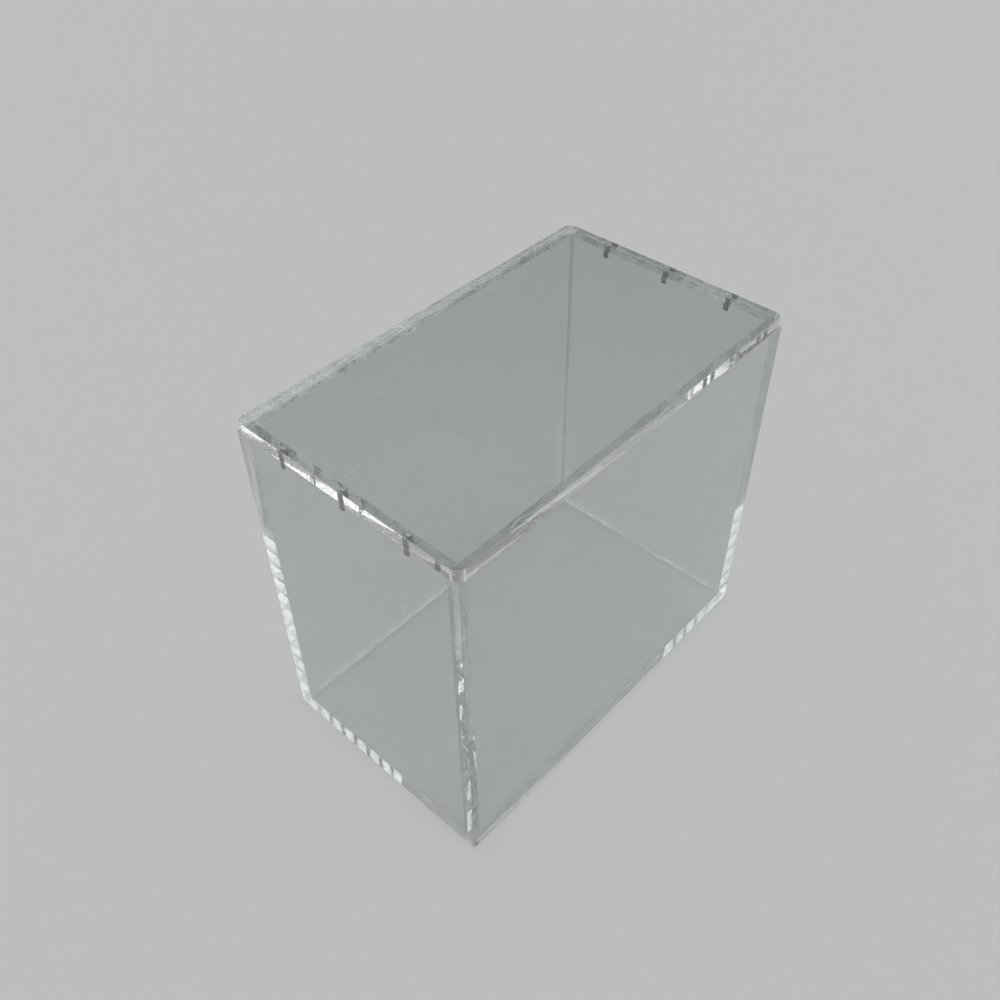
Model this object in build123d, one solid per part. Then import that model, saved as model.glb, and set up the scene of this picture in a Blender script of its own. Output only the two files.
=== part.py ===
from build123d import *
import os

# A clear case for one boxed deck of cards. Five flat acrylic sheets are
# cemented into an open tray, and a loose flat lid closes it. Pairs of small
# rod magnets, glued into the end walls' top edges and into the lid's
# underside, hold the lid down.
#
# All sizes are in millimetres. The origin is the middle of the underside.
# +X runs along the length, +Y across the depth from front to back, +Z is up.

# The room inside, which is the boxed deck and a little to spare
room_length = 138.0
room_depth = 79.0
room_height = 125.5

# The sheets
sheet = 4.0
lid_corner_radius = 3.0
edge_break = 0.1
seat_gap = 0.05

# The magnets, three in a row along the top of each end wall
magnet_spacing = 24.5
magnet_diameter = 2.0
magnet_length = 3.0
magnet_edge_break = 0.15
pocket_clearance = 0.05
magnet_recess = 0.1

# What follows from them
outer_length = room_length + 2 * sheet
outer_depth = room_depth + 2 * sheet
rim_height = sheet + room_height
lid_underside = rim_height + seat_gap
pocket_radius = magnet_diameter / 2 + pocket_clearance
pocket_depth = magnet_length + magnet_recess
row_middle_x = (room_length + sheet) / 2

# How close two places have to be to count as one
same_place = 1e-4

ENDS = {"left": -1, "right": 1}
ROW = {"front": -1, "middle": 0, "back": 1}
STANDING = (Align.CENTER, Align.CENTER, Align.MIN)
HANGING = (Align.CENTER, Align.CENTER, Align.MAX)


def is_outer_edge(edge):
    """True where two outer faces of the tray meet, which is where the sheet's sharp edge is broken."""
    middle = edge.center()
    at_an_end = abs(abs(middle.X) - outer_length / 2) < same_place
    at_a_side = abs(abs(middle.Y) - outer_depth / 2) < same_place
    at_the_foot = abs(middle.Z) < same_place
    at_the_rim = abs(middle.Z - rim_height) < same_place
    return at_an_end + at_a_side + (at_the_foot or at_the_rim) >= 2


def tray_panel(length, depth, height, x=0.0, y=0.0, z=0.0):
    """One cemented sheet, with its outer edges broken and its glued edges left square."""
    panel = Pos(x, y, z) * Box(length, depth, height, align=STANDING)
    return chamfer(panel.edges().filter_by(is_outer_edge), edge_break)


def row_points(side):
    """Each magnet's place in an end wall's row: its name, x and y."""
    for place, step in ROW.items():
        yield place, ENDS[side] * row_middle_x, step * magnet_spacing


def with_pockets(panel, side, mouth_z, align):
    """Drills one end's row of blind pockets, down from mouth_z if hanging and up if standing."""
    for _, x, y in row_points(side):
        panel -= Pos(x, y, mouth_z) * Cylinder(pocket_radius, pocket_depth, align=align)
    return panel


def magnet(x, y, z):
    """A rod magnet standing on z, with both its rims broken."""
    rod = Pos(x, y, z) * Cylinder(magnet_diameter / 2, magnet_length, align=STANDING)
    return chamfer(rod.edges().filter_by(GeomType.CIRCLE), magnet_edge_break)


def make_base():
    """The floor, which carries all four walls."""
    return tray_panel(outer_length, outer_depth, sheet)


def make_long_wall(side_y):
    """A front or back wall, as long as the floor, standing on it."""
    y = side_y * (room_depth + sheet) / 2
    return tray_panel(outer_length, sheet, room_height, y=y, z=sheet)


def make_end_wall(side):
    """A left or right wall, held between the long walls, with a row of magnet pockets in its top."""
    panel = tray_panel(sheet, room_depth, room_height, x=ENDS[side] * row_middle_x, z=sheet)
    return with_pockets(panel, side, rim_height, HANGING)


def make_lid():
    """The lid, flush with the walls all round, with rounded corners and pockets in its underside."""
    plate = Pos(0, 0, lid_underside) * Box(outer_length, outer_depth, sheet, align=STANDING)
    plate = fillet(plate.edges().filter_by(Axis.Z), lid_corner_radius)
    flat_faces = plate.faces().filter_by(Axis.Z)
    plate = chamfer(flat_faces.edges(), edge_break)
    for side in ENDS:
        plate = with_pockets(plate, side, lid_underside, STANDING)
    return plate


def make_magnets():
    """Every magnet by its node's name: each wall magnet stands on its pocket's floor, and each lid
    magnet is pushed up against its pocket's end."""
    wall_z = rim_height - pocket_depth
    lid_z = lid_underside + magnet_recess
    magnets = {}
    for side in ENDS:
        for place, x, y in row_points(side):
            magnets[f"wall_magnet_{side}_{place}"] = magnet(x, y, wall_z)
            magnets[f"lid_magnet_{side}_{place}"] = magnet(x, y, lid_z)
    return magnets


def make_parts():
    """Every physical piece of the case, by its node's name."""
    parts = {
        "base_panel": make_base(),
        "front_wall": make_long_wall(-1),
        "back_wall": make_long_wall(1),
        "left_end_wall": make_end_wall("left"),
        "right_end_wall": make_end_wall("right"),
        "lid_panel": make_lid(),
    }
    parts.update(make_magnets())
    return parts


os.makedirs("parts", exist_ok=True)
for name, shape in make_parts().items():
    export_step(shape, f"parts/{name}.step")
    print(name, shape.bounding_box())
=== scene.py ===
# %% [markdown]
# # A clear case for a boxed deck of cards
#
# The real case is six sheets of cast acrylic, 4 mm thick. Five are joined with solvent cement, which
# melts them into each other, so that light runs on from sheet to sheet as if they were one piece. The
# sixth is a loose lid, held down by six pairs of small magnets. Hardly anything of such a case is
# seen directly. The eye gets its edges, where light that went in at one side comes out of another,
# bright or grey by what it last met. So this lesson is about clean solids, true joints, and a studio
# that is worth reflecting.

# %% Load the CAD model as a fixed frame
import math

import bmesh
import bpy
from mathutils import Matrix, Vector


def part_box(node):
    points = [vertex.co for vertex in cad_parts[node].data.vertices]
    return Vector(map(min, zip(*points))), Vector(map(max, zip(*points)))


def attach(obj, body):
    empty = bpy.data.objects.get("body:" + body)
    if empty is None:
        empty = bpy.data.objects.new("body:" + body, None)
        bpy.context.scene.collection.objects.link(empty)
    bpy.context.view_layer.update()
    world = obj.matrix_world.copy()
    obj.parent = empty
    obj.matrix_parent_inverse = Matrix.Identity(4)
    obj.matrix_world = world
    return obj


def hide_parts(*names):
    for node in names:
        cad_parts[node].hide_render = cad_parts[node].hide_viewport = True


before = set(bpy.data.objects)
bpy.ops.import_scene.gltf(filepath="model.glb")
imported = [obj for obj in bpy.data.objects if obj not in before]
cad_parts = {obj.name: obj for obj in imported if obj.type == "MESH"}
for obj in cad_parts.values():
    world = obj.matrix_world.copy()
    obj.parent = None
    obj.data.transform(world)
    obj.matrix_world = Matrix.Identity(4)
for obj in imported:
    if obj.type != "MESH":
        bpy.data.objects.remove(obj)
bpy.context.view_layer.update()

MM = 0.001
SAME_PLACE = 0.001 * MM

# %% [markdown]
# Two small helpers serve every material. Colours are chosen as sRGB hex values, as a paint chart
# gives them, but shaders work in linear light, so one function converts them. The other adds a node,
# sets its values and links its inputs, so that each material below reads as a list of what the
# surface is made of.

# %% Helpers for materials


def linear(hex_colour):
    """An sRGB hex value as the linear colour, with alpha, that a shader takes."""
    shades = [int(hex_colour[i:i + 2], 16) / 255 for i in (1, 3, 5)]
    return [s / 12.92 if s <= 0.04045 else ((s + 0.055) / 1.055) ** 2.4 for s in shades] + [1.0]


def add(tree, kind, inputs=None, **settings):
    """Adds a node. Each of its inputs is given a plain value, or another node's output to link."""
    node = tree.nodes.new(kind)
    for name, value in settings.items():
        setattr(node, name, value)
    for socket, value in (inputs or {}).items():
        if isinstance(value, bpy.types.NodeSocket):
            tree.links.new(value, node.inputs[socket])
        else:
            node.inputs[socket].default_value = value
    return node


def new_material(name):
    """A material with an empty node tree."""
    material = bpy.data.materials.new(name)
    material.use_nodes = True
    material.node_tree.nodes.clear()
    return material, material.node_tree


def per_metre(size):
    """The texture scale that makes one cell or grain of a pattern as long as size."""
    return 1 / size


# %% [markdown]
# ## Cast acrylic
#
# Acrylic, or PMMA, bends light by 1.49. It is nearly colourless, and a faint cool grey gathers over
# several sheets. A clear sheet could be made with a plain glass shader, but then the light that
# reaches the floor has to find its way through every sheet by chance, which is slow and grainy. Flat
# parallel sheets hardly turn that light, so rays that light a surface go straight through here and
# only lose a little, while everything that the eye sees bends and mirrors as it should.

# %% What all acrylic surfaces share
ACRYLIC_IOR = 1.49
SHEET_TINT = "#e9ebea"
LIGHT_PASSED = "#fefefe"


def lit_through(tree, seen):
    """Ends a clear material: the eye gets the shader seen, and light for other surfaces passes on."""
    path = add(tree, "ShaderNodeLightPath")
    lights_a_surface = add(tree, "ShaderNodeMath", {
        0: path.outputs["Is Shadow Ray"], 1: path.outputs["Is Diffuse Ray"]}, operation="MAXIMUM")
    passing = add(tree, "ShaderNodeBsdfTransparent", {"Color": linear(LIGHT_PASSED)})
    both = add(tree, "ShaderNodeMixShader", {
        0: lights_a_surface.outputs[0], 1: seen, 2: passing.outputs[0]})
    add(tree, "ShaderNodeOutputMaterial", {"Surface": both.outputs[0]})


# %% [markdown]
# The two faces of a cast sheet are formed against glass, so they are as smooth as glass. Up close
# four things still show: a very slow waviness from the casting, the haze that fingers leave, a few
# hairline scratches, and dust, which static holds to acrylic. The waviness is a bump of about a
# hundredth of a millimetre over centimetres, and it is what breaks up the light that zigzags through
# a whole sheet. Dust and scratches could be painted on a map, but a formula needs no picture: a grain
# is the middle of a cell of a Voronoi pattern, and a scratch is a stretch of the contour line of a
# slow noise. Dust grains are drawn 0.3 mm wide, several times life size, because a real one would be
# lost in the picture. A noise wavers about 0.5, so what should cover only a small part of the sheet
# is taken from above that: each FROM and TO below is where a pattern starts and where it is full.

# %% Material of the sheets' faces
CASTING_WAVE = 22 * MM
CASTING_DEPTH = 0.012 * MM
SMUDGE_SIZE = 26 * MM
SMUDGE_ROUGHNESS = 0.045
SMUDGE_FROM, SMUDGE_TO = 0.58, 0.75
DUST_SPACING = 7 * MM
DUST_RADIUS = 0.16 * MM
DUST_SHARE = 0.3
NOISE_MIDDLE = 0.5
SCRATCH_BEND = 16 * MM
SCRATCH_STRETCH = (1.0, 0.35, 1.0)
SCRATCH_WIDTH = 0.002
SCRATCH_REACH = 18 * MM
SCRATCH_WHITE = 0.2
SCUFF_FROM, SCUFF_TO = 0.58, 0.66


def dust(tree, place):
    """1 on a grain of dust and 0 elsewhere: one cell in a few holds a grain at its middle."""
    cells = add(tree, "ShaderNodeTexVoronoi", {"Vector": place, "Scale": per_metre(DUST_SPACING)})
    dusty = add(tree, "ShaderNodeMath", {0: cells.outputs["Color"], 1: DUST_SHARE}, operation="LESS_THAN")
    near = add(tree, "ShaderNodeMath", {
        0: cells.outputs["Distance"], 1: DUST_RADIUS / DUST_SPACING}, operation="LESS_THAN")
    return add(tree, "ShaderNodeMath", {0: dusty.outputs[0], 1: near.outputs[0]}, operation="MULTIPLY")


def hairlines(tree, place):
    """1 on a fine curved scratch: the contour of a slow noise, kept only in a few areas."""
    long_way = add(tree, "ShaderNodeMapping", {"Vector": place, "Scale": SCRATCH_STRETCH})
    slow = add(tree, "ShaderNodeTexNoise", {
        "Vector": long_way.outputs[0], "Scale": per_metre(SCRATCH_BEND), "Detail": 0.0})
    off = add(tree, "ShaderNodeMath", {0: slow.outputs["Fac"], 1: NOISE_MIDDLE}, operation="SUBTRACT")
    off = add(tree, "ShaderNodeMath", {0: off.outputs[0]}, operation="ABSOLUTE")
    line = add(tree, "ShaderNodeMath", {0: off.outputs[0], 1: SCRATCH_WIDTH}, operation="LESS_THAN")
    area = add(tree, "ShaderNodeTexNoise", {
        "Vector": place, "Scale": per_metre(SCRATCH_REACH), "Detail": 2.0})
    scuffed = add(tree, "ShaderNodeMapRange", {
        "Value": area.outputs["Fac"], "From Min": SCUFF_FROM, "From Max": SCUFF_TO,
        "To Max": SCRATCH_WHITE})
    return add(tree, "ShaderNodeMath", {0: line.outputs[0], 1: scuffed.outputs[0]}, operation="MULTIPLY")


def cast_face():
    """Polished cast acrylic, which gives the eye a hard clear mirror with faint haze and specks."""
    material, tree = new_material("cast_acrylic_polished_face")
    place = add(tree, "ShaderNodeTexCoord").outputs["Object"]
    wave = add(tree, "ShaderNodeTexNoise", {
        "Vector": place, "Scale": per_metre(CASTING_WAVE), "Detail": 0.0})
    bump = add(tree, "ShaderNodeBump", {
        "Height": wave.outputs["Fac"], "Distance": CASTING_DEPTH, "Strength": 1.0})
    smudge = add(tree, "ShaderNodeTexNoise", {
        "Vector": place, "Scale": per_metre(SMUDGE_SIZE), "Detail": 5.0, "Roughness": 0.7})
    haze = add(tree, "ShaderNodeMapRange", {
        "Value": smudge.outputs["Fac"], "From Min": SMUDGE_FROM, "From Max": SMUDGE_TO,
        "To Max": SMUDGE_ROUGHNESS})
    specks = add(tree, "ShaderNodeMath", {
        0: dust(tree, place).outputs[0], 1: hairlines(tree, place).outputs[0]}, operation="MAXIMUM")
    clear = add(tree, "ShaderNodeMath", {0: 1.0, 1: specks.outputs[0]}, operation="SUBTRACT")
    surface = add(tree, "ShaderNodeBsdfPrincipled", {
        "Base Color": linear(SHEET_TINT), "IOR": ACRYLIC_IOR, "Roughness": haze.outputs[0],
        "Transmission Weight": clear.outputs[0], "Normal": bump.outputs[0]})
    lit_through(tree, surface.outputs[0])
    return material


# %% [markdown]
# The sheets are sawn or cut by laser and their edges polished. Polishing leaves an edge clear, but
# three traces of the work stay. The cutter's chatter leaves fine ripples across the thickness, and
# light that comes out along the sheet is sliced into bright and dark dashes by them. Small pits are
# left where the polish didn't reach, and a grey bloom of polishing paste dries in the low spots. Pits
# and bloom are drawn more than half a millimetre across, far coarser than real ones, so that they
# show as grain. All of them follow the edge, so they are drawn on a map of the sheet's own, which
# runs along each edge in metres. The rounded corners and the scraped edges are worked by hand and
# polished less: they get the same finish with more roughness, and a share of it stays milky.

# %% Material of the cut edges
EDGE_MAP = "along_the_edge"
CHATTER_PITCH = 2.2 * MM
CHATTER_DEPTH = 0.004 * MM
CHATTER_WANDER = 3.0
PIT_SIZE = 0.6 * MM
PIT_DEPTH = 0.05 * MM
PIT_FROM, PIT_TO = 0.66, 0.74
PIT_ROUGHNESS = 0.1
CORNER_ROUGHNESS = 0.2
CORNER_CLEARED = 0.78
RESIDUE_SIZE = 0.7 * MM
RESIDUE_FROM, RESIDUE_TO = 0.57, 0.63
RESIDUE_TINT = "#989a96"
# The wave texture repeats each time that its scaled coordinate grows by a twentieth of a full turn.
WAVE_BAND = 2 * math.pi / 20


def cut_edge(name, polish_roughness, cleared):
    """Cut acrylic with ripples, pits and bloom, and a share of it cleared again by polishing."""
    material, tree = new_material(name)
    along = add(tree, "ShaderNodeUVMap", uv_map=EDGE_MAP).outputs[0]
    chatter = add(tree, "ShaderNodeTexWave", {
        "Vector": along, "Scale": WAVE_BAND / CHATTER_PITCH, "Distortion": CHATTER_WANDER, "Detail": 2.0,
        "Detail Scale": 0.6})
    ripple = add(tree, "ShaderNodeBump", {
        "Height": chatter.outputs["Fac"], "Distance": CHATTER_DEPTH, "Strength": 1.0})
    grain = add(tree, "ShaderNodeTexNoise", {
        "Vector": along, "Scale": per_metre(PIT_SIZE), "Detail": 1.0})
    pits = add(tree, "ShaderNodeMapRange", {
        "Value": grain.outputs["Fac"], "From Min": PIT_FROM, "From Max": PIT_TO})
    pitted = add(tree, "ShaderNodeBump", {
        "Height": pits.outputs[0], "Distance": PIT_DEPTH, "Strength": 1.0, "Normal": ripple.outputs[0]},
        invert=True)
    rough = add(tree, "ShaderNodeMapRange", {
        "Value": pits.outputs[0], "To Min": polish_roughness, "To Max": polish_roughness + PIT_ROUGHNESS})
    residue = add(tree, "ShaderNodeTexNoise", {
        "Vector": along, "Scale": per_metre(RESIDUE_SIZE), "Detail": 1.0})
    veil = add(tree, "ShaderNodeMapRange", {
        "Value": residue.outputs["Fac"], "From Min": RESIDUE_FROM, "From Max": RESIDUE_TO})
    tint = add(tree, "ShaderNodeMix", {
        0: veil.outputs[0], 6: linear(SHEET_TINT), 7: linear(RESIDUE_TINT)}, data_type="RGBA")
    surface = add(tree, "ShaderNodeBsdfPrincipled", {
        "Base Color": tint.outputs[2], "IOR": ACRYLIC_IOR, "Roughness": rough.outputs[0],
        "Transmission Weight": cleared, "Normal": pitted.outputs[0]})
    lit_through(tree, surface.outputs[0])
    return material


# %% [markdown]
# Solvent cement leaves no layer of its own. Where it has run in well, the joint is gone, and light
# passes as if through one solid: that is a Transparent shader on both touching faces, which neither
# bends nor mirrors. Two glass faces here would trap light between them and turn every joint into a
# mirror. Cement never runs in perfectly, though. Faint milky streaks stay, drawn as a share of a
# white Diffuse shader, and small bubbles, which glint. The back wall and the right end wall are taken
# as the last ones set, with more cement pooled under them. There the streaks are stronger and cover
# more of the joint, and it shows as a pale line along the inside of the case.

# %% Material of the cemented joints
BUBBLE_SPACING = 1.1 * MM
BUBBLE_RADIUS = 0.22 * MM
BUBBLE_SHARE = 0.22
BUBBLE_STRENGTH = 0.55
CEMENT_STREAK = 5 * MM
CEMENT_HAZE = 0.09
CEMENT_FROM, CEMENT_TO = 0.45, 0.75
POOLED_HAZE = 0.3
POOLED_FROM = 0.3
CEMENT_TINT = "#f5f6f5"
MILKY_WHITE = "#eef0ee"
BUBBLE_WHITE = "#f2f4f2"
BUBBLE_ROUGHNESS = 0.15


def cemented_joint(name, most_haze, haze_from):
    """A solvent-cemented joint, which the eye sees through but for milky streaks and bubbles."""
    material, tree = new_material(name)
    place = add(tree, "ShaderNodeTexCoord").outputs["Object"]
    cells = add(tree, "ShaderNodeTexVoronoi", {"Vector": place, "Scale": per_metre(BUBBLE_SPACING)})
    bubbly = add(tree, "ShaderNodeMath", {
        0: cells.outputs["Color"], 1: BUBBLE_SHARE}, operation="LESS_THAN")
    near = add(tree, "ShaderNodeMath", {
        0: cells.outputs["Distance"], 1: BUBBLE_RADIUS / BUBBLE_SPACING}, operation="LESS_THAN")
    bubble = add(tree, "ShaderNodeMath", {0: bubbly.outputs[0], 1: near.outputs[0]}, operation="MULTIPLY")
    share = add(tree, "ShaderNodeMath", {0: bubble.outputs[0], 1: BUBBLE_STRENGTH}, operation="MULTIPLY")
    streaks = add(tree, "ShaderNodeTexNoise", {
        "Vector": place, "Scale": per_metre(CEMENT_STREAK), "Detail": 3.0})
    haze = add(tree, "ShaderNodeMapRange", {
        "Value": streaks.outputs["Fac"], "From Min": haze_from, "From Max": CEMENT_TO,
        "To Max": most_haze})
    through = add(tree, "ShaderNodeBsdfTransparent", {"Color": linear(CEMENT_TINT)})
    milky = add(tree, "ShaderNodeBsdfDiffuse", {"Color": linear(MILKY_WHITE)})
    hazy = add(tree, "ShaderNodeMixShader", {0: haze.outputs[0], 1: through.outputs[0], 2: milky.outputs[0]})
    glint = add(tree, "ShaderNodeBsdfGlossy", {
        "Color": linear(BUBBLE_WHITE), "Roughness": BUBBLE_ROUGHNESS})
    both = add(tree, "ShaderNodeMixShader", {
        0: share.outputs[0], 1: hazy.outputs[0], 2: glint.outputs[0]})
    add(tree, "ShaderNodeOutputMaterial", {"Surface": both.outputs[0]})
    return material


# %% [markdown]
# Each magnet sits in a blind hole from a drill or end mill, in a drop of clear adhesive. The adhesive
# wets the hole, so its wall is gone as a joint's is, but the tool's scoring keeps a breath of white.

# %% Material of the glued pockets
POCKET_HAZE = 0.12
ADHESIVE_TINT = "#f4f6f4"
SCORED_WHITE = "#c9ccca"


def glued_pocket():
    """A drilled wall wet with clear adhesive, which veils the magnet behind it a little."""
    material, tree = new_material("drilled_acrylic_wet_with_adhesive")
    through = add(tree, "ShaderNodeBsdfTransparent", {"Color": linear(ADHESIVE_TINT)})
    scored = add(tree, "ShaderNodeBsdfDiffuse", {"Color": linear(SCORED_WHITE)})
    both = add(tree, "ShaderNodeMixShader", {0: POCKET_HAZE, 1: through.outputs[0], 2: scored.outputs[0]})
    add(tree, "ShaderNodeOutputMaterial", {"Surface": both.outputs[0]})
    return material


# %% [markdown]
# The magnets are neodymium rods under a dark nickel plating. The plating is a metal, so it has a
# colour but no clear coat, and barrel plating leaves it lightly mottled and softer than a mirror.

# %% Material of the magnets
PLATING_GRAIN = 0.35 * MM
PLATING_DARK, PLATING_PALE = "#979894", "#bbbcb8"
PLATING_SMOOTH, PLATING_DULL = 0.25, 0.5


def dark_nickel():
    """Barrel-plated dark nickel, which gives the eye a soft grey gleam along each rod."""
    material, tree = new_material("dark_nickel_plating")
    place = add(tree, "ShaderNodeTexCoord").outputs["Object"]
    mottle = add(tree, "ShaderNodeTexNoise", {
        "Vector": place, "Scale": per_metre(PLATING_GRAIN), "Detail": 4.0})
    colour = add(tree, "ShaderNodeMix", {
        0: mottle.outputs["Fac"], 6: linear(PLATING_DARK), 7: linear(PLATING_PALE)}, data_type="RGBA")
    rough = add(tree, "ShaderNodeMapRange", {
        "Value": mottle.outputs["Fac"], "To Min": PLATING_SMOOTH, "To Max": PLATING_DULL})
    surface = add(tree, "ShaderNodeBsdfPrincipled", {
        "Base Color": colour.outputs[2], "Metallic": 1.0, "Roughness": rough.outputs[0]})
    add(tree, "ShaderNodeOutputMaterial", {"Surface": surface.outputs[0]})
    return material


FACE, EDGE, CORNER, JOINT, POOLED_JOINT, POCKET = range(6)
SHEET_FINISHES = [
    cast_face(),
    cut_edge("cast_acrylic_cut_and_polished_edge", polish_roughness=0.0, cleared=1.0),
    cut_edge("cast_acrylic_filed_and_polished_corner", CORNER_ROUGHNESS, CORNER_CLEARED),
    cemented_joint("solvent_cement_with_bubbles", CEMENT_HAZE, CEMENT_FROM),
    cemented_joint("solvent_cement_pooled_and_milky", POOLED_HAZE, POOLED_FROM),
    glued_pocket()]
MAGNET_FINISH = dark_nickel()
print("finishes:", [material.name for material in SHEET_FINISHES + [MAGNET_FINISH]])

# %% [markdown]
# ## The sheets
#
# Every sheet starts as a blank: a cube scaled to the sheet's CAD box. The cube could be left as it
# is, but its six faces are not alike. Some are the cast faces, some are cut edges, and some are
# cemented to a neighbour, often only in a strip along the rim. So the blank is first scored where its
# neighbours end, and each face then learns what it is by a probe just outside it: if the probe is
# inside another cemented sheet, the face is a joint.

# %% Blanks, and what each face is
TRAY = ["base_panel", "front_wall", "back_wall", "left_end_wall", "right_end_wall"]
TRAY_BOXES = {node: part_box(node) for node in TRAY}
TRAY_LOW = Vector([min(box[0][i] for box in TRAY_BOXES.values()) for i in range(3)])
TRAY_HIGH = Vector([max(box[1][i] for box in TRAY_BOXES.values()) for i in range(3)])
PROBE = 0.5 * MM


def blank(node):
    """A square-edged sheet that fills the node's box."""
    low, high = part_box(node)
    bm = bmesh.new()
    bmesh.ops.create_cube(bm, size=1.0)
    bmesh.ops.scale(bm, vec=high - low, verts=bm.verts)
    bmesh.ops.translate(bm, vec=(low + high) / 2, verts=bm.verts)
    return bm


def score(bm, box):
    """Scores the blank along the planes of another sheet's sides, so that no face is part joint."""
    for corner in box:
        for axis in range(3):
            bmesh.ops.bisect_plane(
                bm, geom=bm.verts[:] + bm.edges[:] + bm.faces[:], dist=SAME_PLACE, plane_co=corner,
                plane_no=Matrix.Identity(3)[axis])


def is_inside(point, box):
    """True if the point is in the box."""
    return all(box[0][i] < point[i] < box[1][i] for i in range(3))


def is_pooled(face):
    """True for the level joint under the back wall or the right end wall, both taken as set last."""
    middle = face.calc_center_median()
    last_set = [TRAY_BOXES["back_wall"], TRAY_BOXES["right_end_wall"]]
    looks_up_or_down = abs(face.normal.z) > max(abs(face.normal.x), abs(face.normal.y))
    return looks_up_or_down and any(
        box[0].x < middle.x < box[1].x and box[0].y < middle.y < box[1].y for box in last_set)


def mark_joints(bm, neighbours):
    """Marks each face that a neighbour is cemented to."""
    for face in bm.faces:
        probe = face.calc_center_median() + face.normal * PROBE
        if any(is_inside(probe, box) for box in neighbours):
            face.material_index = POOLED_JOINT if is_pooled(face) else JOINT


# %% [markdown]
# After gluing, the maker runs a scraper once along each outer edge of the tray, and along both rims
# of the lid, to take the sharpness off. It is a flat only 0.1 mm wide, but a perfectly sharp edge has
# no width to catch light, so the bevel matters. Glued edges stay square, or the joint would gape.

# %% Broken edges
EDGE_BREAK = 0.1 * MM
BREAK_SEGMENTS = 2


def break_edges(bm, edges):
    """Rounds the edges over by the width of a scraper's flat."""
    bmesh.ops.bevel(
        bm, geom=edges, offset=EDGE_BREAK, offset_type="OFFSET", segments=BREAK_SEGMENTS, profile=0.5,
        affect="EDGES", material=-1, clamp_overlap=True)


def is_outer_edge(edge):
    """True for an edge where two outer sides of the tray meet."""
    middle = (edge.verts[0].co + edge.verts[1].co) / 2
    sides = [
        min(abs(middle[i] - TRAY_LOW[i]), abs(middle[i] - TRAY_HIGH[i])) < SAME_PLACE for i in range(3)]
    return sum(sides) >= 2


# %% [markdown]
# A pocket could be cut with a Boolean, but the face it goes into is flat and known, so it is quicker
# and cleaner to work it by hand: score a square cell round the drill's centre, divide its rim, inset
# it, push the inner rim out to a true circle, and sink that. It is a habit worth having, because the
# mesh keeps tidy quads and the pocket gets its own finish on the way.

# %% Drilled pockets
POCKET_CLEARANCE = 0.05 * MM
GLUE_FILM = 0.02 * MM
POCKET_CELL = 3.2 * MM
POCKET_INSET = 0.2 * MM
POCKET_SEGMENTS = 32
SQUARE_ON = 0.99


def flat_face_at(bm, point, into):
    """The smallest face square to the way into that the point lies on."""
    bm.normal_update()

    def holds(face):
        spans = [[vert.co[i] for vert in face.verts] for i in range(3)]
        return all(min(span) - SAME_PLACE < point[i] < max(span) + SAME_PLACE for i, span in enumerate(spans))

    facing = [face for face in bm.faces if abs(face.normal.dot(into)) > SQUARE_ON and holds(face)]
    return min(facing, key=lambda face: face.calc_area())


def drill(bm, mouth, into, radius, depth):
    """Sinks a blind round pocket from its mouth's middle, along into."""
    for axis in (Vector((1, 0, 0)), Vector((0, 1, 0))):
        for side in (-1, 1):
            face = flat_face_at(bm, mouth, into)
            bmesh.ops.bisect_plane(
                bm, geom=[face, *face.edges, *face.verts], dist=SAME_PLACE,
                plane_co=mouth + axis * side * POCKET_CELL / 2, plane_no=axis)
    cell = flat_face_at(bm, mouth, into)
    bmesh.ops.subdivide_edges(bm, edges=cell.edges[:], cuts=POCKET_SEGMENTS // 4 - 1)
    cell = flat_face_at(bm, mouth, into)
    bmesh.ops.inset_region(bm, faces=[cell], thickness=POCKET_INSET)
    for vert in cell.verts:
        vert.co = mouth + (vert.co - mouth).normalized() * radius
    end = bmesh.ops.extrude_discrete_faces(bm, faces=[cell])["faces"][0]
    bmesh.ops.translate(bm, vec=into * depth, verts=end.verts)
    for face in {face for edge in end.edges for face in edge.link_faces}:
        face.material_index = POCKET


def drill_for(bm, node, mouth_z):
    """Drills the pocket that a magnet's node sits in, from the sheet's face at mouth_z."""
    low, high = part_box(node)
    middle = (low + high) / 2
    far_z = max(low.z, high.z, key=lambda z: abs(z - mouth_z))
    way = math.copysign(1.0, far_z - mouth_z)
    drill(bm, Vector((middle.x, middle.y, mouth_z)), Vector((0, 0, way)),
          (high.x - low.x) / 2 + POCKET_CLEARANCE, abs(far_z - mouth_z) + GLUE_FILM)


# %% [markdown]
# The last steps are the same for every sheet. A face that is neither joint nor pocket is a cast face
# if it looks along the sheet's thin way, and a cut edge if it looks straight along another. What
# looks askew is a rounded corner or a scraped edge. Then the edge map is laid: along the edge one
# way, through the thickness the other, both in metres, so that ripples keep their pitch.

# %% Finishing a sheet
EXACTLY_SQUARE_ON = 0.999


def thin_axis(node):
    """The axis, as 0, 1 or 2, that the sheet is thinnest along."""
    low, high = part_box(node)
    return min(range(3), key=lambda i: high[i] - low[i])


def mark_faces_and_edges(bm, thin):
    """Tells cast faces, cut edges and corners apart by how square on they look."""
    bm.normal_update()
    for face in bm.faces:
        if face.material_index in (JOINT, POOLED_JOINT, POCKET):
            continue
        if abs(face.normal[thin]) > SQUARE_ON:
            face.material_index = FACE
        elif max(abs(part) for part in face.normal) > EXACTLY_SQUARE_ON:
            face.material_index = EDGE
        else:
            face.material_index = CORNER


def lay_edge_map(bm, thin):
    """Lays a map in metres on every face: its long way first, and the sheet's thickness last."""
    layer = bm.loops.layers.uv.new(EDGE_MAP)
    for face in bm.faces:
        across = max(range(3), key=lambda i: abs(face.normal[i]))
        ways = sorted((i for i in range(3) if i != across), key=lambda i: i == thin)
        for loop in face.loops:
            loop[layer].uv = [loop.vert.co[i] for i in ways]


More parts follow.
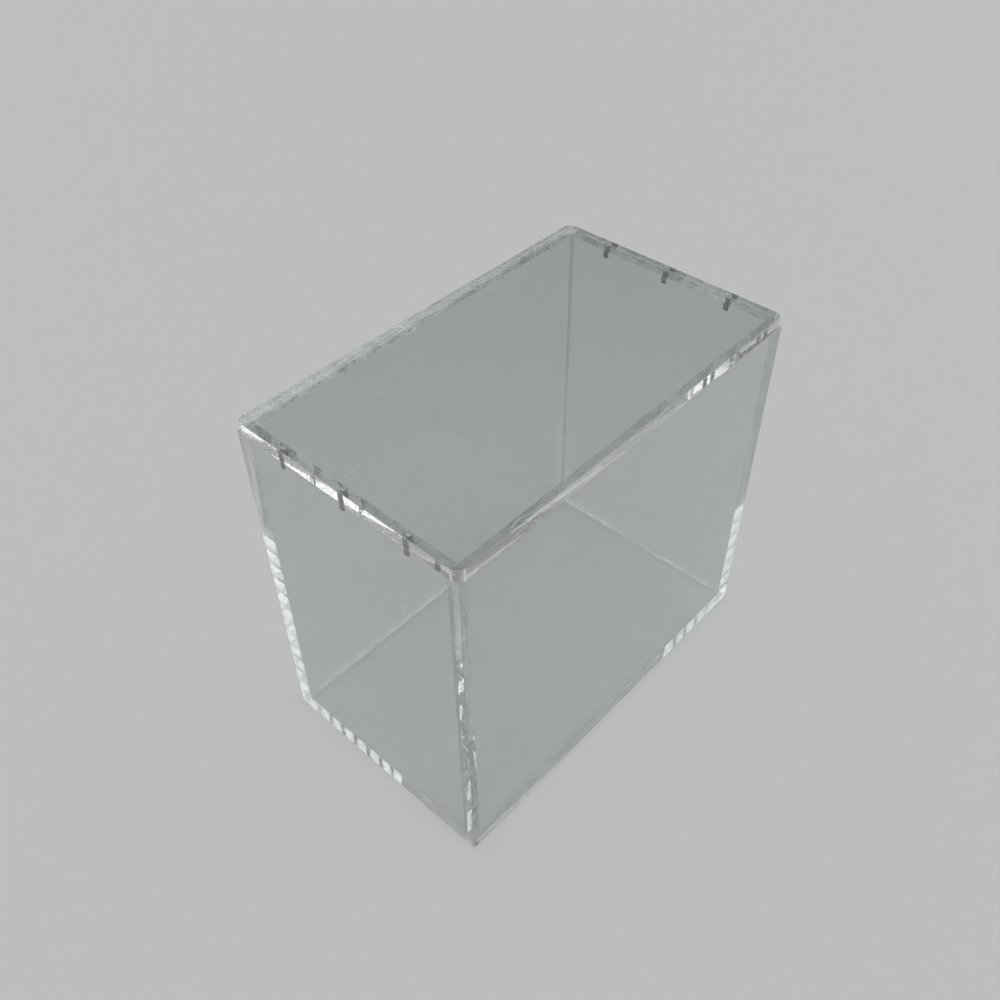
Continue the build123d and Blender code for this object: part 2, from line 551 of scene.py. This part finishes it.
def finish_sheet(bm, node, body):
    """Turns the worked blank into a piece that stands for its CAD node."""
    thin = thin_axis(node)
    mark_faces_and_edges(bm, thin)
    lay_edge_map(bm, thin)
    bmesh.ops.recalc_face_normals(bm, faces=bm.faces)
    mesh = bpy.data.meshes.new(f"{node}_acrylic")
    volume = bm.calc_volume() / MM ** 3
    counts = [sum(face.material_index == kind for face in bm.faces)
              for kind in range(len(SHEET_FINISHES))]
    bm.to_mesh(mesh)
    bm.free()
    for material in SHEET_FINISHES:
        mesh.materials.append(material)
    piece = bpy.data.objects.new(mesh.name, mesh)
    bpy.context.scene.collection.objects.link(piece)
    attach(piece, body)
    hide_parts(node)
    print(f"{node}: {volume:.0f} mm3, {counts} faces cast, cut, corner, joint, pooled joint, pocket")
    return piece


# %% [markdown]
# ### The tray
#
# The base lies flat, the two long walls stand on it at its full length, and the end walls are held
# between them. All the magnets in the tray are in the end walls' top edges.

# %% Make the tray
MAGNETS = sorted(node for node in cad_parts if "magnet" in node)
WALL_MAGNETS = [node for node in MAGNETS if node.startswith("wall_magnet")]
LID_MAGNETS = [node for node in MAGNETS if node.startswith("lid_magnet")]


def make_tray_sheet(node):
    """One cemented sheet, scored, with its outer edges broken and its magnets' pockets drilled."""
    bm = blank(node)
    neighbours = [box for name, box in TRAY_BOXES.items() if name != node]
    for box in neighbours:
        score(bm, box)
    mark_joints(bm, neighbours)
    break_edges(bm, [edge for edge in bm.edges if is_outer_edge(edge)])
    for magnet in WALL_MAGNETS:
        low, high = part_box(magnet)
        if is_inside((low + high) / 2, TRAY_BOXES[node]):
            drill_for(bm, magnet, TRAY_HIGH.z)
    return finish_sheet(bm, node, "case")


for node in TRAY:
    make_tray_sheet(node)

# %% [markdown]
# ### The lid
#
# The lid is one sheet, flush with the walls all round, but with its four corners rounded, so that it
# can be told from the tray by touch and doesn't dig into a palm. It lies on the walls with a breath
# of air between. That air matters: it is why the rim of the lid shines by itself.

# %% Make the lid
LID_CORNER_RADIUS = 3.0 * MM
LID_CORNER_SEGMENTS = 14


def make_lid():
    """The lid, with rounded corners, broken rims and the pockets in its underside."""
    node = "lid_panel"
    bm = blank(node)
    upright = [edge for edge in bm.edges if abs(edge.verts[0].co.z - edge.verts[1].co.z) > SAME_PLACE]
    bmesh.ops.bevel(
        bm, geom=upright, offset=LID_CORNER_RADIUS, offset_type="OFFSET", segments=LID_CORNER_SEGMENTS,
        profile=0.5, affect="EDGES", material=-1)
    break_edges(bm, [edge for edge in bm.edges if abs(edge.verts[0].co.z - edge.verts[1].co.z) < SAME_PLACE])
    for magnet in LID_MAGNETS:
        drill_for(bm, magnet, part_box(node)[0].z)
    return finish_sheet(bm, node, "lid")


make_lid()

# %% [markdown]
# ## The magnets
#
# A rod magnet is pressed and ground, then tumbled before plating, which rounds its rims. It is made
# as it would be turned: a disc, drawn out to its length, with both rims rounded. Flat caps and a
# round side need different shading, so the mesh is smooth except where it turns sharply.

# %% Make the magnets
MAGNET_SEGMENTS = 40
MAGNET_RIM = 0.15 * MM
RIM_SEGMENTS = 3
SHARP_TURN = math.radians(35)


def make_magnet(node, body):
    """One plated rod in the place of its CAD node."""
    low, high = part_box(node)
    bm = bmesh.new()
    bmesh.ops.create_circle(bm, cap_ends=True, radius=(high.x - low.x) / 2, segments=MAGNET_SEGMENTS)
    top = bmesh.ops.extrude_face_region(bm, geom=bm.faces[:], use_keep_orig=True)["geom"]
    bmesh.ops.translate(
        bm, vec=(0, 0, high.z - low.z), verts=[part for part in top if isinstance(part, bmesh.types.BMVert)])
    rims = [edge for edge in bm.edges if abs(edge.verts[0].co.z - edge.verts[1].co.z) < SAME_PLACE]
    bmesh.ops.bevel(
        bm, geom=rims, offset=MAGNET_RIM, offset_type="OFFSET", segments=RIM_SEGMENTS, profile=0.5,
        affect="EDGES", material=-1)
    bmesh.ops.translate(bm, vec=((low.x + high.x) / 2, (low.y + high.y) / 2, low.z), verts=bm.verts)
    bmesh.ops.recalc_face_normals(bm, faces=bm.faces)
    mesh = bpy.data.meshes.new(f"{node}_plated")
    bm.to_mesh(mesh)
    bm.free()
    mesh.polygons.foreach_set("use_smooth", [True] * len(mesh.polygons))
    mesh.set_sharp_from_angle(angle=SHARP_TURN)
    mesh.materials.append(MAGNET_FINISH)
    piece = bpy.data.objects.new(mesh.name, mesh)
    bpy.context.scene.collection.objects.link(piece)
    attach(piece, body)
    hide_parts(node)
    return piece


for node in WALL_MAGNETS:
    make_magnet(node, "case")
for node in LID_MAGNETS:
    make_magnet(node, "lid")
print(len(WALL_MAGNETS), "magnets in the end walls,", len(LID_MAGNETS), "in the lid")

# %% [markdown]
# ## The studio
#
# The floor is a plain pale board. It stands a hair below the case, because two surfaces in exactly
# the same place can't be told apart by a ray.

# %% Floor
FLOOR_HALF = 3.0
FLOOR_DROP = 0.05 * MM
FLOOR_COLOUR = "#a8aaa8"
FLOOR_ROUGHNESS = 0.75
FLOOR_GLOSS = 0.2


def make_floor():
    """A plain board that reaches far past the view."""
    material, tree = new_material("matt_pale_board")
    surface = add(tree, "ShaderNodeBsdfPrincipled", {
        "Base Color": linear(FLOOR_COLOUR), "Roughness": FLOOR_ROUGHNESS,
        "Specular IOR Level": FLOOR_GLOSS})
    add(tree, "ShaderNodeOutputMaterial", {"Surface": surface.outputs[0]})
    bm = bmesh.new()
    bmesh.ops.create_grid(bm, x_segments=1, y_segments=1, size=FLOOR_HALF)
    bmesh.ops.translate(bm, vec=(0, 0, -FLOOR_DROP), verts=bm.verts)
    mesh = bpy.data.meshes.new("studio_floor")
    bm.to_mesh(mesh)
    bm.free()
    mesh.materials.append(material)
    floor = bpy.data.objects.new(mesh.name, mesh)
    bpy.context.scene.collection.objects.link(floor)


make_floor()

# %% [markdown]
# Clear things are lit by what stands round them. Lamps would show as hard spots in every edge, so the
# light is a tent: a white dome that starts about 30 degrees up, and a pale wall below it. A tent that
# is white all over would leave the case white on white, so parts of it are darkened, as a
# photographer does with card. A round opening and two grey panels stand opposite the camera, where
# the lid and the near rims would mirror the tent, and a small dark panel at the back left puts a few
# black dashes into the lid's far corner. Each keeps its own share of the light, and where two
# overlap, the darker one counts.

# %% Light tent
WALL_LIGHT = 0.5
DOME_LIGHT = 1.7
DOME_FROM, DOME_TO = 24, 40
PANELS = [
    {"azimuth": (31, 57), "elevation": (26, 48), "soft": 3, "light": 0.25},
    {"azimuth": (24, 66), "elevation": (20, 40), "soft": 3, "light": 0.22},
    {"azimuth": (138, 162), "elevation": (27, 35), "soft": 1, "light": 0.03}]
ROUND_OPENING = {"azimuth": 42, "elevation": 54, "radius": 9.5, "soft": 3, "light": 0.18}


def within(tree, angle, span, soft):
    """1 where the angle lies in the span, both in degrees, and 0 outside its soft ends."""
    middle, half = sum(span) / 2, (span[1] - span[0]) / 2
    off = add(tree, "ShaderNodeMath", {0: angle, 1: math.radians(middle)}, operation="SUBTRACT")
    off = add(tree, "ShaderNodeMath", {0: off.outputs[0]}, operation="ABSOLUTE")
    return add(tree, "ShaderNodeMapRange", {
        "Value": off.outputs[0], "From Min": math.radians(half), "From Max": math.radians(half + soft),
        "To Min": 1.0, "To Max": 0.0}).outputs[0]


def behind_panel(tree, turn, rise, azimuth, elevation, soft, light):
    """What a hung panel leaves of the tent's light: light behind it, and 1 elsewhere."""
    panel = add(tree, "ShaderNodeMath", {
        0: within(tree, turn, azimuth, soft), 1: within(tree, rise, elevation, soft)},
        operation="MULTIPLY")
    return add(tree, "ShaderNodeMapRange", {
        "Value": panel.outputs[0], "To Min": 1.0, "To Max": light}).outputs[0]


def toward(azimuth, elevation):
    """The direction at an azimuth, in degrees from +X towards +Y, and an elevation."""
    a, e = math.radians(azimuth), math.radians(elevation)
    return Vector((math.cos(a) * math.cos(e), math.sin(a) * math.cos(e), math.sin(e)))


def in_opening(tree, direction, azimuth, elevation, radius, soft, light):
    """What a round opening leaves of the tent's light: light in it, and 1 outside its soft rim."""
    near = add(tree, "ShaderNodeVectorMath", {
        0: direction, 1: toward(azimuth, elevation)}, operation="DOT_PRODUCT").outputs["Value"]
    return add(tree, "ShaderNodeMapRange", {
        "Value": near, "From Min": math.cos(math.radians(radius + soft)),
        "From Max": math.cos(math.radians(radius)), "To Min": 1.0, "To Max": light}).outputs[0]


def make_tent():
    """The tent as the world's background, with azimuth measured from +X towards +Y."""
    world = bpy.data.worlds.new("light_tent")
    bpy.context.scene.world = world
    world.use_nodes = True
    tree = world.node_tree
    tree.nodes.clear()
    direction = add(tree, "ShaderNodeTexCoord").outputs["Generated"]
    part = add(tree, "ShaderNodeSeparateXYZ", {0: direction}).outputs
    rise = add(tree, "ShaderNodeMath", {0: part["Z"]}, operation="ARCSINE").outputs[0]
    turn = add(tree, "ShaderNodeMath", {0: part["Y"], 1: part["X"]}, operation="ARCTAN2").outputs[0]
    dome = add(tree, "ShaderNodeMapRange", {
        "Value": rise, "From Min": math.radians(DOME_FROM), "From Max": math.radians(DOME_TO),
        "To Min": WALL_LIGHT, "To Max": DOME_LIGHT}).outputs[0]
    left = in_opening(tree, direction, **ROUND_OPENING)
    for panel in PANELS:
        left = add(tree, "ShaderNodeMath", {
            0: left, 1: behind_panel(tree, turn, rise, **panel)}, operation="MINIMUM").outputs[0]
    tent = add(tree, "ShaderNodeMath", {0: dome, 1: left}, operation="MULTIPLY").outputs[0]
    background = add(tree, "ShaderNodeBackground", {"Color": linear("#ffffff"), "Strength": tent})
    add(tree, "ShaderNodeOutputWorld", {"Surface": background.outputs[0]})


make_tent()

# %% [markdown]
# The camera stands close, less than 35 cm away, as a hand-held one does over a table. That is why the
# near corner looks so much larger than the far one, and it decides which way light leaves each edge.

# %% Camera
CAMERA = {"azimuth": -46.8, "elevation": 43.88, "roll": -0.98, "distance": 348.7 * MM, "lens": 36.84}
AIM = Vector((-1.3, 9.7, 72.7)) * MM
NEAREST_SEEN = 10 * MM


def place_camera(azimuth, elevation, roll, distance, lens):
    """A camera that looks at AIM. Azimuth 0 looks along +Y, and the roll is its tilt in degrees."""
    camera = bpy.data.objects.new("camera", bpy.data.cameras.new("camera"))
    bpy.context.scene.collection.objects.link(camera)
    camera.data.lens = lens
    camera.data.clip_start = NEAREST_SEEN
    back = toward(azimuth - 90, elevation)
    turn = back.to_track_quat("Z", "Y").to_matrix() @ Matrix.Rotation(math.radians(roll), 3, "Z")
    camera.matrix_world = Matrix.Translation(AIM + back * distance) @ turn.to_4x4()
    bpy.context.scene.camera = camera


place_camera(**CAMERA)

# %% [markdown]
# Light zigzags up to forty times along a sheet before it comes out of the far edge. The renderer
# gives up on a path after a dozen turns by default, and the edges would go black, so it is told to
# follow them for longer. The plain colour transform keeps the tent's white white.

# %% Long light paths and plain colour
LONGEST_PATH = 64
cycles = bpy.context.scene.cycles
cycles.max_bounces = LONGEST_PATH
cycles.glossy_bounces = LONGEST_PATH
cycles.transmission_bounces = LONGEST_PATH
cycles.transparent_max_bounces = LONGEST_PATH
bpy.context.scene.view_settings.view_transform = "Standard"
